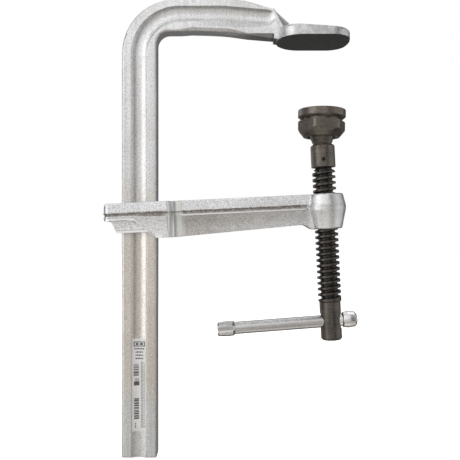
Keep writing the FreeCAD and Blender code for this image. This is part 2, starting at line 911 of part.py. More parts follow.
def hole_mouth(body, name, side):
    """Widen one mouth of the cross hole by a cone: side is 1 for the right mouth and -1 for the left."""
    radius = size["cross_hole_radius"]
    mouth = size["cross_hole_mouth"]
    depth = (mouth - radius) * 2
    inner = (size["head_radius"] - depth) * side
    outer = (size["head_radius"] + size["hole_mouth_past"]) * side
    below = radius - size["hole_mouth_overlap"]
    sketch = new_sketch(body, name, "XZ_Plane", shift=(as_size(0), -size["cross_hole_level"]))
    add_outline(sketch, [
        (inner, below),
        (outer, below),
        (outer, mouth + size["hole_mouth_past"]),
        (inner, radius),
    ])
    groove(body, sketch, "H_Axis")


def spindle_cross_hole(body):
    hole = new_sketch(body, "CrossHole", "YZ_Plane")
    add_circle(hole, 0, -size["cross_hole_level"], size["cross_hole_radius"])
    pocket(body, hole)
    hole_mouth(body, "HoleMouth", 1)
    hole_mouth(body, "HoleMouthLeft", -1)


def make_spindle():
    body = new_body("spindle")
    spindle_blank(body)
    spindle_thread(body)
    spindle_cross_hole(body)
    put_in_arm_frame(body)
    return body


# Tommy bar.

def make_tommy_bar():
    """A round bar with a turned bulge at its right end and a fluted swage at its left end."""
    body = new_body("tommy_bar")
    radius = size["bar_radius"]
    bulge = size["bulge_radius"]
    swage = size["swage_radius"]
    left = -size["bar_left"]
    right = size["bar_right"]
    shoulder = left + size["swage_length"]
    start = size["bulge_start"]
    taper = size["swage_taper"]
    end_round = size["bar_end_round"]
    sketch = new_sketch(body, "BarProfile", "XZ_Plane")
    add_outline(sketch, [
        (left, 0),
        (left, swage - size["swage_chamfer"]),
        (left + size["swage_chamfer"], swage - taper),
        (left + size["swage_full"], swage, size["swage_round"]),
        (shoulder - size["swage_shoulder"], swage - taper / 2, size["swage_shoulder"]),
        (shoulder, radius, end_round),
        (start, radius),
        (start + size["bulge_rise"], bulge - size["bulge_taper"]),
        (size["bulge_full"], bulge, size["bulge_round"]),
        (right - size["bulge_end_length"], bulge - size["bulge_taper"], end_round),
        (right, bulge - size["bulge_end_drop"]),
        (right, 0),
    ])
    revolve(body, sketch, "H_Axis")
    flute = new_sketch(body, "SwageFlute", "YZ_Plane", offset=left - size["past"] / 4)
    add_circle(flute, 0, size["swage_flute_centre"], size["swage_flute_radius"])
    before = body.Shape.Volume
    cut = pocket(body, flute, size["swage_length"] - size["past"] / 2, symmetric=False, down=True)
    pattern = body.newObject("PartDesign::PolarPattern", "SwageFlutes")
    pattern.Originals = [cut]
    pattern.Axis = (flute, ["N_Axis"])
    pattern.Angle = 360
    pattern.Occurrences = SWAGE_FLUTES
    must_cut(before, finish_feature(body, pattern))
    place_bar(body)
    return body


def place_bar(body):
    """The bar lies a little askew in its hole: its axis leans by bar_tilt from the row's x axis."""
    along = -size["cross_hole_level"]
    x = size["axis_x"] - along * size["arm_tilt"].sine()
    z = size["arm_level"] + along * size["arm_tilt"].cosine()
    body.Placement = Placement(Vector(x.value, 0, z.value), Rotation(Vector(0, -1, 0), size["bar_tilt"].value))
    body.setExpression("Placement.Base.x", x.text)
    body.setExpression("Placement.Base.z", z.text)


# Ball stud and its set screw.

def make_ball_stud():
    """Sleeve with a blind bore, a flared neck and a ball with a flat on top, turned from one bar."""
    body = new_body("ball_stud")
    outer = size["sleeve_radius"]
    bore = size["sleeve_bore_radius"]
    bottom = size["sleeve_bottom"]
    top = size["sleeve_top"]
    bore_end = size["journal_top"] + size["bore_end_gap"]
    ball = size["ball_radius"]
    centre = size["ball_level"]
    flare = size["neck_flare_radius"]
    join = centre - (ball * ball - flare * flare).root()
    flat_radius = (ball * ball - size["ball_flat"] * size["ball_flat"]).root()
    sketch = new_sketch(body, "StudProfile", "XZ_Plane")
    inside = flare - size["past"]
    add_outline(sketch, [
        (0, centre),
        (0, bore_end),
        (bore, bore_end),
        (bore, bottom),
        (outer, bottom),
        (outer, top, size["sleeve_round"]),
        (size["neck_radius"], top),
        (flare, join),
        (inside, centre),
    ])
    revolve(body, sketch)
    ball_sketch = new_sketch(body, "BallProfile", "XZ_Plane")
    add_ball_outline(ball_sketch, centre, ball, flat_radius, size["ball_flat"])
    revolve(body, ball_sketch)
    hole = new_sketch(body, "ScrewHole", "XZ_Plane")
    add_circle(hole, 0, size["screw_level"], size["screw_radius"] + size["screw_fit"])
    pocket(body, hole, outer + size["past"], symmetric=False, down=True)
    put_in_arm_frame(body, turn_about_axis=size["screw_turn"].value)
    return body


def add_ball_outline(sketch, centre, radius, flat_radius, flat_height):
    """Half of a ball cut flat on top, as an outline to be turned about the sketch's vertical axis."""
    middle = Vector(0, centre.value, 0)
    top_angle = math.atan2(flat_height.value, flat_radius.value)
    circle = Part.Circle(middle, Vector(0, 0, 1), radius.value)
    arc = sketch.addGeometry(Part.ArcOfCircle(circle, -math.pi / 2, top_angle), False)
    bind_point(sketch, arc, 3, 0, centre)
    bind_radius(sketch, arc, radius)
    flat = add_line(sketch, (flat_radius, centre + flat_height), (0, centre + flat_height))
    stem = add_line(sketch, (0, centre + flat_height), (0, centre - radius))
    sketch.addConstraint(Sketcher.Constraint("Coincident", arc, 2, flat, 1))
    sketch.addConstraint(Sketcher.Constraint("Coincident", flat, 2, stem, 1))
    sketch.addConstraint(Sketcher.Constraint("Coincident", stem, 2, arc, 1))
    bind_point(sketch, stem, 1, 0, centre + flat_height)
    sketch.addConstraint(Sketcher.Constraint("Horizontal", flat))
    sketch.addConstraint(Sketcher.Constraint("Vertical", stem))


def make_stud_set_screw():
    """A headless screw in the wall of the sleeve. Its plain tip runs in the journal's groove."""
    body = new_body("stud_set_screw")
    radius = size["screw_radius"]
    tip = size["screw_tip_radius"]
    reach = size["screw_tip_reach"]
    shoulder = size["screw_shoulder"]
    end = size["sleeve_radius"] - size["screw_recess"]
    sketch = new_sketch(body, "ScrewProfile", "XZ_Plane")
    add_outline(sketch, [
        (0, reach),
        (tip, reach),
        (tip, shoulder),
        (radius, shoulder),
        (radius, end - size["screw_chamfer"]),
        (radius - size["screw_chamfer"], end),
        (0, end),
    ])
    revolve(body, sketch)
    socket = new_sketch(body, "ScrewSocket", "XY_Plane", offset=end)
    add_polygon(socket, HEXAGON, size["screw_socket_width"] / 2)
    pocket(body, socket, size["screw_socket_depth"], symmetric=False)
    put_in_arm_frame(body, along=size["screw_level"])
    lean = Rotation(Vector(0, -1, 0), size["arm_tilt"].value)
    turn = Rotation(Vector(0, 0, 1), size["screw_turn"].value)
    body.Placement = Placement(body.Placement.Base, lean * turn * Rotation(Vector(1, 0, 0), 90))
    return body


def add_polygon(sketch, sides, inner_radius):
    """A regular polygon about the sketch's origin, with flats at inner_radius."""
    step = 2 * math.pi / sides
    outer = 1 / math.cos(step / 2)
    corners = []
    for i in range(sides):
        corners.append((inner_radius * (outer * math.cos(i * step)), inner_radius * (outer * math.sin(i * step))))
    add_outline(sketch, corners)


# Hex nut and pressure plate.

def put_in_pad_frame(body, turn=0.0):
    along = size["ball_level"]
    x = size["axis_x"] - along * size["arm_tilt"].sine()
    z = size["arm_level"] + along * size["arm_tilt"].cosine()
    lean = Rotation(Vector(0, 1, 0), size["pad_lean"].value)
    body.Placement = Placement(Vector(x.value, 0, z.value), lean * Rotation(Vector(0, 0, 1), turn))
    body.setExpression("Placement.Base.x", x.text)
    body.setExpression("Placement.Base.z", z.text)


def nut_outside(body):
    """The hexagon's corners are turned off to a circle, with a long chamfer towards the sleeve."""
    sketch = new_sketch(body, "Hexagon", "XY_Plane", offset=-size["nut_bottom"])
    add_polygon(sketch, HEXAGON, size["nut_width"] / 2)
    pad(body, sketch, size["nut_bottom"] + size["nut_top"])
    round_radius = size["nut_radius"]
    bottom = -size["nut_bottom"]
    top = size["nut_top"]
    wide = round_radius + size["past"] * 2
    below = bottom - size["past"] / 4
    above = top + size["past"] / 4
    trim = new_sketch(body, "NutTrim", "XZ_Plane")
    add_outline(trim, [
        (size["nut_bottom_radius"] - size["past"] / 4, below),
        (wide, below),
        (wide, above),
        (round_radius - size["nut_top_chamfer"], above),
        (round_radius, top - size["nut_top_lead"]),
        (round_radius, -size["nut_chamfer_start"], size["nut_round"]),
        (size["nut_bottom_radius"], bottom),
    ])
    groove(body, trim)


def nut_inside(body):
    """Threaded bore for the plate's boss, then the seat of the ball and the mouth for the neck."""
    seat = size["seat_radius"]
    mouth = size["nut_mouth_radius"]
    sketch = new_sketch(body, "NutBore", "XY_Plane", offset=size["nut_ledge"])
    add_circle(sketch, 0, 0, size["nut_bore_radius"])
    pocket(body, sketch, size["nut_top"] + size["past"], symmetric=False, down=True)
    sketch = new_sketch(body, "NutMouth", "XY_Plane")
    add_circle(sketch, 0, 0, mouth)
    pocket(body, sketch)
    before = body.Shape.Volume
    ball = body.newObject("PartDesign::SubtractiveSphere", "NutSeat")
    ball.setExpression("Radius", seat.text)
    must_cut(before, finish_feature(body, ball))


def make_hex_nut():
    body = new_body("hex_nut")
    nut_outside(body)
    nut_inside(body)
    put_in_pad_frame(body, turn=size["nut_turn"].value)
    return body


def make_pressure_plate():
    """Round plate with a boss that screws into the nut. A spherical socket in it takes the ball."""
    body = new_body("pressure_plate")
    rim = size["plate_radius"]
    stem = size["plate_boss_radius"]
    bottom = size["plate_bottom"]
    top = size["plate_top"]
    sketch = new_sketch(body, "PlateProfile", "XZ_Plane")
    add_outline(sketch, [
        (0, size["plate_boss_bottom"]),
        (stem, size["plate_boss_bottom"]),
        (stem, bottom),
        (rim - size["plate_chamfer"], bottom),
        (rim, bottom + size["plate_chamfer_height"]),
        (rim, top, size["plate_edge_round"]),
        (0, top),
    ])
    revolve(body, sketch)
    seat = new_sketch(body, "SocketProfile", "XZ_Plane")
    radius = size["seat_radius"]
    flat = size["plate_socket_top"]
    add_ball_outline(seat, as_size(0), radius, (radius * radius - flat * flat).root(), flat)
    groove(body, seat)
    put_in_pad_frame(body)
    return body


# Sticker.

def make_rail_label():
    """A thin sticker that follows the round bottom of the rail's front groove."""
    body = new_body("rail_label")
    centre = -(size["rail_thickness"] / 2 + size["groove_radius"] - size["groove_depth"])
    outer = size["groove_radius"] - size["label_gap"]
    inner = outer - size["label_thickness"]
    half = math.asin(size["label_half_width"].value / size["groove_radius"].value)
    sketch = new_sketch(body, "LabelSection", "XY_Plane", offset=-size["label_bottom"],
                        shift=(as_size(0), centre))
    up = math.pi / 2
    arcs = []
    for radius in (outer, inner):
        circle = Part.Circle(Vector(0, 0, 0), Vector(0, 0, 1), radius.value)
        arcs.append(sketch.addGeometry(Part.ArcOfCircle(circle, up - half, up + half), False))
        bind_point(sketch, arcs[-1], 3, 0, 0)
        bind_radius(sketch, arcs[-1], radius)
    for end in (1, 2):
        side = half if end == 2 else -half
        start_point = (-math.sin(side) * outer.value, math.cos(side) * outer.value)
        end_point = (-math.sin(side) * inner.value, math.cos(side) * inner.value)
        line = add_line(sketch, start_point, end_point)
        sketch.addConstraint(Sketcher.Constraint("Coincident", line, 1, arcs[0], end))
        sketch.addConstraint(Sketcher.Constraint("Coincident", line, 2, arcs[1], end))
        sketch.addConstraint(Sketcher.Constraint("PointOnObject", -1, 1, line))
    pad(body, sketch, size["label_length"])
    body.setExpression("Placement.Base.x", (-size["rail_offset"]).text)
    return body


# Build, check and write.

def check_and_write(bodies):
    doc.recompute()
    for thing in doc.Objects:
        if "Invalid" in thing.State or "Error" in thing.State:
            raise RuntimeError(f"{thing.Label} failed: {thing.State}")
    os.makedirs("parts", exist_ok=True)
    for body in bodies:
        shape = body.Shape
        if shape.isNull() or not shape.isValid() or len(shape.Solids) != 1:
            raise RuntimeError(f"{body.Label} has no single valid solid")
        shape.exportStep(f"parts/{body.Label}.step")
        print(f"{body.Label}: {shape.Volume / 1000:.2f} cm3, {len(shape.Faces)} faces")


check_and_write([
    make_rail_and_fixed_jaw(),
    make_sliding_arm(),
    make_spindle(),
    make_tommy_bar(),
    make_ball_stud(),
    make_stud_set_screw(),
    make_hex_nut(),
    make_pressure_plate(),
    make_rail_label(),
])
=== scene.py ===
"""Looks of a drop-forged, zinc-plated sliding-arm bar clamp with a black screw."""

import math
import random

import bpy
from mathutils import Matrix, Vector
from mathutils.bvhtree import BVHTree


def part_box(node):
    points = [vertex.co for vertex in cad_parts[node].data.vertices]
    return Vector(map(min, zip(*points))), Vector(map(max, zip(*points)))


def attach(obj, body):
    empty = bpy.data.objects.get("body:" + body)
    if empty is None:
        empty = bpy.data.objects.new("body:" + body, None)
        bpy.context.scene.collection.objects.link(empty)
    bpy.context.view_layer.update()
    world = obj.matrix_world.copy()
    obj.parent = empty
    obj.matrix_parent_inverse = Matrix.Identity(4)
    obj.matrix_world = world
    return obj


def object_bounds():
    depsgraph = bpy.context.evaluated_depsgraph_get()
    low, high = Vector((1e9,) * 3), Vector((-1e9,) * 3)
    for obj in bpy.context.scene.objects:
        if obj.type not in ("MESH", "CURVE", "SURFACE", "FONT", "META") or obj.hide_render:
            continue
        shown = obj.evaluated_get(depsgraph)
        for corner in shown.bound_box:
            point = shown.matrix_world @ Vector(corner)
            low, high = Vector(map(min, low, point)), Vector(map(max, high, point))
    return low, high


MM = 0.001

CAMERA_PLACE = (-58.9 * MM, -402 * MM, -131 * MM)
CAMERA_LENS = 45.0
SENSOR_WIDTH = 36.0
NEAREST_SEEN = 0.01
FARTHEST_SEEN = 50

FLOOR_GAP = 100 * MM
FLOOR_REACH = 6.0
FLOOR_CORNERS = 64
LIT_POINT = Vector((-0.06, 0.0, -0.13))

ARM_LEAN = math.radians(2.75)
BOSS_CENTRE = (7.74 * MM, 0.0, -115 * MM)
BAR_LEAN = math.radians(4.4)
THREAD_END = -66 * MM
SET_SCREW_PLACE = (5.36 * MM, -8.33 * MM, -82.44 * MM)

# Most of a noise pattern lies between these levels.
USUAL_LEVELS = (0.3, 0.7)
WIDE_LEVELS = (0.25, 0.75)

WHITE = (1, 1, 1, 1)
WARM_WHITE = (1.0, 0.965, 0.92)


# ---------------------------------------------------------------- materials


class Graph:
    """One procedural material, with short calls that add and join its nodes."""

    def __init__(self, name, metallic, specular=0.5):
        self.material = bpy.data.materials.new(name)
        self.material.use_nodes = True
        self.tree = self.material.node_tree
        self.shader = self.tree.nodes["Principled BSDF"]
        self.shader.inputs["Metallic"].default_value = metallic
        self.shader.inputs["Specular IOR Level"].default_value = specular
        self.place = self.tree.nodes.new("ShaderNodeTexCoord").outputs["Object"]

    def feed(self, socket, value):
        """Joins value to a socket if it is an output, and otherwise sets it there."""
        if isinstance(value, bpy.types.NodeSocket):
            self.tree.links.new(value, socket)
        else:
            socket.default_value = value

    # Numbers.

    def maths(self, operation, first, second):
        node = self.tree.nodes.new("ShaderNodeMath")
        node.operation = operation
        self.feed(node.inputs[0], first)
        self.feed(node.inputs[1], second)
        return node.outputs[0]

    def times(self, first, *others):
        """The product of all the values."""
        for other in others:
            first = self.maths("MULTIPLY", first, other)
        return first

    def plus(self, first, second):
        return self.maths("ADD", first, second)

    def minus(self, first, second):
        return self.maths("SUBTRACT", first, second)

    def greater(self, first, second):
        """The larger of two values."""
        return self.maths("MAXIMUM", first, second)

    def ramp(self, value, low, high, to_low=0.0, to_high=1.0):
        """Value carried smoothly from low..high onto to_low..to_high."""
        node = self.tree.nodes.new("ShaderNodeMapRange")
        node.interpolation_type = "SMOOTHSTEP"
        self.feed(node.inputs["Value"], value)
        node.inputs["From Min"].default_value = low
        node.inputs["From Max"].default_value = high
        node.inputs["To Min"].default_value = to_low
        node.inputs["To Max"].default_value = to_high
        return node.outputs["Result"]

    def where(self, mask, factor):
        """A factor for shade: 1 where the mask is 0, and factor where the mask is 1."""
        return self.ramp(mask, 0.0, 1.0, 1.0, factor)

    def band(self, value, low, high, soft):
        """1 where value lies between low and high, with soft borders."""
        rising = self.ramp(value, low - soft, low + soft)
        return self.times(rising, self.ramp(value, high + soft, high - soft))

    def blend_numbers(self, amount, first, second):
        """Number that goes from first to second as amount goes from 0 to 1."""
        return self.mixed("FLOAT", amount, first, second)

    # Places and directions.

    def stretched(self, factors, turn=0.0, centre=(0, 0, 0)):
        """Object place seen from centre, turned about Y, then scaled along each axis."""
        away = self.tree.nodes.new("ShaderNodeVectorMath")
        away.operation = "SUBTRACT"
        self.feed(away.inputs[0], self.place)
        away.inputs[1].default_value = centre
        turned = self.tree.nodes.new("ShaderNodeVectorRotate")
        turned.rotation_type = "Y_AXIS"
        self.feed(turned.inputs["Vector"], away.outputs[0])
        turned.inputs["Angle"].default_value = turn
        scaled = self.tree.nodes.new("ShaderNodeVectorMath")
        scaled.operation = "MULTIPLY"
        self.feed(scaled.inputs[0], turned.outputs[0])
        scaled.inputs[1].default_value = factors
        return scaled.outputs[0]

    def on_arm(self, factors=(1.0, 1.0, 1.0)):
        """Place measured from the boss's centre, along the leaning arm and its screw."""
        return self.stretched(factors, ARM_LEAN, BOSS_CENTRE)

    def axis(self, name, place=None):
        """One coordinate of the place, X, Y or Z."""
        node = self.tree.nodes.new("ShaderNodeSeparateXYZ")
        self.feed(node.inputs[0], place or self.place)
        return node.outputs[name]

    def facing(self, name):
        """How far the surface faces along +X, +Y or +Z of the object, from -1 to 1."""
        normal = self.tree.nodes.new("ShaderNodeTexCoord").outputs["Normal"]
        return self.axis(name, normal)

    def length(self, place):
        """How long a place vector is."""
        node = self.tree.nodes.new("ShaderNodeVectorMath")
        node.operation = "LENGTH"
        self.feed(node.inputs[0], place)
        return node.outputs["Value"]

    # Patterns and colours.

    def noise(self, cells, detail=3.0, rough=0.55, place=None):
        """Cloudy noise from 0 to 1, with that many cells per metre."""
        node = self.tree.nodes.new("ShaderNodeTexNoise")
        self.feed(node.inputs["Vector"], place or self.place)
        node.inputs["Scale"].default_value = cells
        node.inputs["Detail"].default_value = detail
        node.inputs["Roughness"].default_value = rough
        return node.outputs["Fac"]

    def mixed(self, kind, amount, first, second):
        node = self.tree.nodes.new("ShaderNodeMix")
        node.data_type = kind
        self.feed(node.inputs["Factor"], amount)
        self.feed(node.inputs["A"], first)
        self.feed(node.inputs["B"], second)
        return node.outputs["Result"]

    def blend(self, amount, first, second):
        """Colour that goes from first to second as amount goes from 0 to 1."""
        return self.mixed("RGBA", amount, first, second)

    def shade(self, colour, factor):
        """Colour times a number."""
        node = self.tree.nodes.new("ShaderNodeVectorMath")
        node.operation = "SCALE"
        self.feed(node.inputs[0], colour)
        self.feed(node.inputs["Scale"], factor)
        return node.outputs[0]

    def tinted(self, colour, tint):
        """Colour times a tint, channel by channel."""
        node = self.tree.nodes.new("ShaderNodeVectorMath")
        node.operation = "MULTIPLY"
        self.feed(node.inputs[0], colour)
        node.inputs[1].default_value = tint
        return node.outputs[0]

    def mottled(self, colour, pattern, low, high, darkest, palest):
        """Colour made darkest where the pattern is below low and palest where it is above high."""
        return self.shade(colour, self.ramp(pattern, low, high, darkest, palest))

    # Edges, relief and the end.

    def edges(self, radius, sharp):
        """1 on edges and 0 on flats. Sharp is the cosine of how far the edge turns the normal."""
        almost_flat = 0.985
        bevel = self.tree.nodes.new("ShaderNodeBevel")
        bevel.samples = 4
        bevel.inputs["Radius"].default_value = radius
        true_normal = self.tree.nodes.new("ShaderNodeNewGeometry").outputs["Normal"]
        dot = self.tree.nodes.new("ShaderNodeVectorMath")
        dot.operation = "DOT_PRODUCT"
        self.feed(dot.inputs[0], bevel.outputs[0])
        self.feed(dot.inputs[1], true_normal)
        return self.ramp(dot.outputs["Value"], almost_flat, sharp)

    def worn_edges(self, colour, radius, sharp, amount, bare):
        """Colour that goes towards bare on the edges, all the way where amount is 1."""
        return self.blend(self.times(self.edges(radius, sharp), amount), colour, bare)

    def soft_edges(self, radius):
        """A normal that turns smoothly over sharp edges, as if they were rounded."""
        bevel = self.tree.nodes.new("ShaderNodeBevel")
        bevel.samples = 8
        self.feed(bevel.inputs["Radius"], radius)
        return bevel.outputs[0]

    def bump(self, height, distance, strength, under=None):
        """A normal with relief of that distance, laid over the normal under it."""
        node = self.tree.nodes.new("ShaderNodeBump")
        node.inputs["Strength"].default_value = strength
        node.inputs["Distance"].default_value = distance
        self.feed(node.inputs["Height"], height)
        if under is not None:
            self.feed(node.inputs["Normal"], under)
        return node.outputs["Normal"]

    def finish(self, colour, roughness, normal):
        self.feed(self.shader.inputs["Base Color"], colour)
        self.feed(self.shader.inputs["Roughness"], roughness)
        self.feed(self.shader.inputs["Normal"], normal)
        return self.material


def grey(value, warm=0.0):
    """A linear colour of that lightness, pushed towards warm (or cool if negative)."""
    return (value * (1 + warm), value, value * (1 - warm), 1.0)


def forged_zinc(name, pale, dull, grain, depth, metallic=0.86):
    """Zinc over a shot-blasted forging: soft clouds, fine speckle and small pits.

    Grain is the speckle's cells per metre, and depth is how strongly it shades the colour.
    """
    graph = Graph(name, metallic)
    clouds = graph.noise(cells=45, detail=4)
    speckle = graph.noise(cells=grain, detail=2, rough=0.7)
    pits = graph.noise(cells=grain * 0.45, detail=2)
    colour = graph.blend(graph.ramp(clouds, low=0.35, high=0.68), pale, dull)
    darkest = 1.0 - depth
    palest = 1.0 + depth * 0.65
    in_pits = 1.0 - depth * 0.75
    colour = graph.mottled(colour, speckle, low=0.34, high=0.66, darkest=darkest, palest=palest)
    colour = graph.mottled(colour, pits, low=0.28, high=0.42, darkest=in_pits, palest=1.0)
    return graph, colour, speckle, pits


# The rail's looks change over these stretches. A ramp is 0 at a pair's first place and 1 at
# its second, in the shared frame's X for the places on the fixed arm and its Z for heights.

WARM_ZONE_TOP = (-60 * MM, -130 * MM)
WARM_ZONE_FOOT = (-232 * MM, -205 * MM)
LOW_END = (-205 * MM, -232 * MM)
RAIL_DRIFT = 50 * MM

PAD_START = (-27 * MM, -20 * MM)
PAD_SIDE_TOP = (11 * MM, 8.5 * MM)
PAD_FACE_START = (-31 * MM, -28 * MM)
PAD_ROOT = (-62 * MM, -34 * MM)
PAD_ROOT_TOP = (14 * MM, 11 * MM)
GROOVE_LIP = (15 * MM, 18 * MM)
BELOW_ARM = (-110 * MM, -135 * MM)
ABOVE_ARM = (-118 * MM, -105 * MM)
BELOW_BEND = (4 * MM, -8 * MM)


def rail_zinc():
    pale = grey(0.78, -0.005)
    dull = grey(0.72, 0.005)
    warm_tint = (1.0, 0.945, 0.875)
    green_tint = (0.985, 1.0, 0.985)
    graph, colour, speckle, pits = forged_zinc("rail_zinc", pale, dull, grain=1150, depth=0.19)
    height = graph.axis("Z")
    wavy = graph.plus(height, graph.times(graph.noise(cells=22, detail=3), RAIL_DRIFT))
    warm_zone = graph.times(graph.ramp(wavy, *WARM_ZONE_TOP), graph.ramp(wavy, *WARM_ZONE_FOOT))
    warm = graph.tinted(graph.shade(colour, 0.93), warm_tint)
    colour = graph.blend(warm_zone, colour, warm)
    greenish = graph.tinted(graph.shade(colour, 0.94), green_tint)
    colour = graph.blend(graph.ramp(wavy, *LOW_END), colour, greenish)
    colour = graph.shade(colour, rail_shades(graph, height))
    drawn_up = (1.0, 1.0, 0.02)
    brushed = graph.noise(cells=420, detail=3, place=graph.stretched(drawn_up))
    colour = graph.mottled(colour, brushed, *USUAL_LEVELS, darkest=0.93, palest=1.05)
    colour = graph.worn_edges(colour, radius=0.7 * MM, sharp=0.80, amount=0.45, bare=grey(0.88))
    rough = graph.ramp(speckle, *WIDE_LEVELS, to_low=0.32, to_high=0.46)
    normal = graph.bump(brushed, distance=0.02 * MM, strength=0.35, under=graph.soft_edges(0.4 * MM))
    normal = graph.bump(speckle, distance=0.08 * MM, strength=0.6, under=normal)
    normal = graph.bump(pits, distance=0.12 * MM, strength=0.4, under=normal)
    return graph.finish(colour, rough, normal)


def rail_shades(graph, height):
    """All the shades of the rail and its fixed arm, multiplied together: painted shade and painted
    highlight, the pad side's dull patches and the pad's dark pressing face.
    """
    along = graph.axis("X")
    down = graph.facing("Z")
    return graph.times(
        pad_side_shade(graph, along, height),
        underside_shade(graph, along, height, down),
        right_side_shade(graph, height),
        groove_wall_shade(graph, height),
        pad_face_shade(graph, along, down),
        groove_lip_shade(graph, height, down),
    )


def pad_side_shade(graph, along, height):
    """The pad's side is dull in patches."""
    strongest = 1.35
    clouds = graph.noise(cells=170, detail=4)
    patches = graph.ramp(clouds, low=0.38, high=0.60, to_low=0.35, to_high=strongest)
    side = graph.times(graph.ramp(along, *PAD_START), graph.ramp(height, *PAD_SIDE_TOP), patches)
    return graph.ramp(side, 0.0, strongest, to_low=1.0, to_high=0.78)


def underside_shade(graph, along, height, down):
    """Painted shade on the fixed arm's underside, darker towards the pad."""
    slanting_down = (-0.25, -0.70)
    near_pad = graph.times(graph.ramp(along, *PAD_ROOT), graph.ramp(height, *PAD_ROOT_TOP))
    return graph.where(graph.times(graph.ramp(down, *slanting_down), near_pad), 0.42)


def right_side_shade(graph, height):
    """Painted shade on the narrow face on the rail's right, between the bend and the sliding arm."""
    squarely_right = (0.6, 0.9)
    right = graph.ramp(graph.facing("X"), *squarely_right)
    upper_half = graph.times(graph.ramp(height, *ABOVE_ARM), graph.ramp(height, *BELOW_BEND))
    return graph.where(graph.times(right, upper_half), 0.62)


def groove_wall_shade(graph, height):
    """Painted highlight on the groove's right wall, which faces left, below the sliding arm."""
    slanting_left = (-0.75, -0.10)
    wall = graph.band(graph.facing("X"), *slanting_left, soft=0.05)
    return graph.where(graph.times(wall, graph.ramp(height, *BELOW_ARM)), 1.22)


def pad_face_shade(graph, along, down):
    """The pad's pressing face is ground, dark and scratched."""
    squarely_down = (-0.45, -0.85)
    ground = graph.times(graph.ramp(along, *PAD_FACE_START), graph.ramp(down, *squarely_down))
    scratches = graph.noise(cells=700, detail=4)
    scratched = graph.ramp(scratches, low=0.35, high=0.70, to_low=0.30, to_high=0.52)
    return graph.blend_numbers(ground, 1.0, scratched)


def groove_lip_shade(graph, height, down):
    """Painted shade under the upper lip of the groove in the fixed arm."""
    slanting_down = (-0.28, -0.62)
    lip = graph.times(graph.ramp(down, *slanting_down), graph.ramp(height, *GROOVE_LIP))
    return graph.where(lip, 0.58)


# The sliding arm's looks change over these stretches. A ramp is 0 at a pair's first place and
# 1 at its second. Places along the arm are measured from the screw's axis, so the head on the
# rail is at the negative end. Heights are measured from the arm's middle.

HEAD_TO_BEAM = (-101 * MM, -97 * MM)
BOSS_TO_SHADED_BEAM = (-11 * MM, -15 * MM)
BOSS_TO_FLASH = (-12 * MM, -16 * MM)
BEAM_TO_SMOOTH_BOSS = (-12 * MM, -9 * MM)
BEAM_TO_PALE_BOSS = (-14 * MM, -10 * MM)
WHOLE_BEAM = (-100 * MM, -28 * MM)
FLUTE_TO_WEDGE = (-108 * MM, -114 * MM)
FLUTE_TO_LIP = (-112 * MM, -114 * MM)
FLUTE_ENDS = (-109.3 * MM, -99.2 * MM)
FLUTE_LEFT_WALL = (-106.6 * MM, -105.2 * MM)
FLUTE_RIGHT_WALL = (-103.4 * MM, -102.0 * MM)
FLUTE_BOTTOM = (-105.4 * MM, -103.4 * MM)
LOWER_HALF = (0.0, -1.0 * MM)
BEAM_FOOT = (-5 * MM, -12 * MM)
HEAD_FOOT = (-1.5 * MM, -12 * MM)
SKIRT_FOOT = (-9.4 * MM, -10.0 * MM)
HEAD_OUTER_SIDE = (11.1 * MM, 11.5 * MM)

FLASH_HEIGHTS = (-0.05 * MM, 2.15 * MM)
FLASH_WANDER = 1.1 * MM
WEDGE_LENGTH = (-150 * MM, -112 * MM)
WEDGE_FOOT = (0.4 * MM, -1.0 * MM)
WEDGE_TOP = (2.9 * MM, 2.3 * MM)
WEDGE_FADE = (-152 * MM, -118 * MM)

LIP_HEIGHTS = (-3.6 * MM, -1.45 * MM)
LIP_BEND = 132 * MM
LIP_SLOPE = 0.95
RIDGE_HEIGHTS = (-1.6 * MM, -0.45 * MM)


def arm_shades(graph, colour, along, height):
    """Painted shade and light on the lower half: darker on the beam, lighter towards the lower edge, and
    warmer where it is darkest.
    """
    below = graph.ramp(height, *LOWER_HALF)
    on_beam = graph.times(graph.ramp(along, *HEAD_TO_BEAM), graph.ramp(along, *BOSS_TO_SHADED_BEAM))
    beam = graph.plus(
        graph.ramp(along, *WHOLE_BEAM, to_low=0.58, to_high=0.80),
        graph.ramp(height, *BEAM_FOOT, to_low=0.0, to_high=0.16),
    )
    head = graph.plus(
        graph.ramp(height, *HEAD_FOOT, to_low=0.93, to_high=1.16),
        graph.times(graph.ramp(along, *BEAM_TO_PALE_BOSS), 0.12),
    )
    off_beam = graph.minus(1.0, on_beam)
    lower = graph.plus(graph.times(on_beam, beam), graph.times(off_beam, head))
    factor = graph.plus(graph.times(below, lower), graph.minus(1.0, below))
    darkness = graph.minus(1.0, factor)
    warm_tint = (1.0, 0.965, 0.915)
    colour = graph.blend(graph.ramp(darkness, low=0.05, high=0.35), colour, graph.tinted(colour, warm_tint))
    return graph.shade(colour, factor)


def flute_shades(graph, along):
    """Painted highlight on the flute's left wall, and painted shade on its bottom and its right wall."""
    left_wall = graph.ramp(along, *FLUTE_LEFT_WALL, to_low=1.30, to_high=0.94)
    right_wall = graph.ramp(along, *FLUTE_RIGHT_WALL, to_low=1.0, to_high=0.78)
    bottom = graph.band(along, *FLUTE_BOTTOM, soft=0.6 * MM)
    return graph.times(left_wall, right_wall, graph.where(bottom, 0.80))


def flash_line_shade(graph, along, height):
    """Painted shade along the forging flash line: a dark line on the beam and a wedge on the head."""
    ragged = graph.times(graph.minus(graph.noise(cells=330, detail=4), 0.5), FLASH_WANDER)
    wavy = graph.plus(height, ragged)
    line = graph.band(wavy, *FLASH_HEIGHTS, soft=0.25 * MM)
    over_foot = graph.minus(wavy, graph.ramp(along, *WEDGE_LENGTH, *WEDGE_FOOT))
    blur = 0.3 * MM
    wedge = graph.times(
        graph.ramp(over_foot, -blur, blur),
        graph.ramp(wavy, *WEDGE_TOP),
        graph.ramp(along, *WEDGE_FADE, to_low=0.55, to_high=1.0),
    )
    return graph.greater(line, graph.times(graph.ramp(along, *FLUTE_TO_WEDGE), wedge))


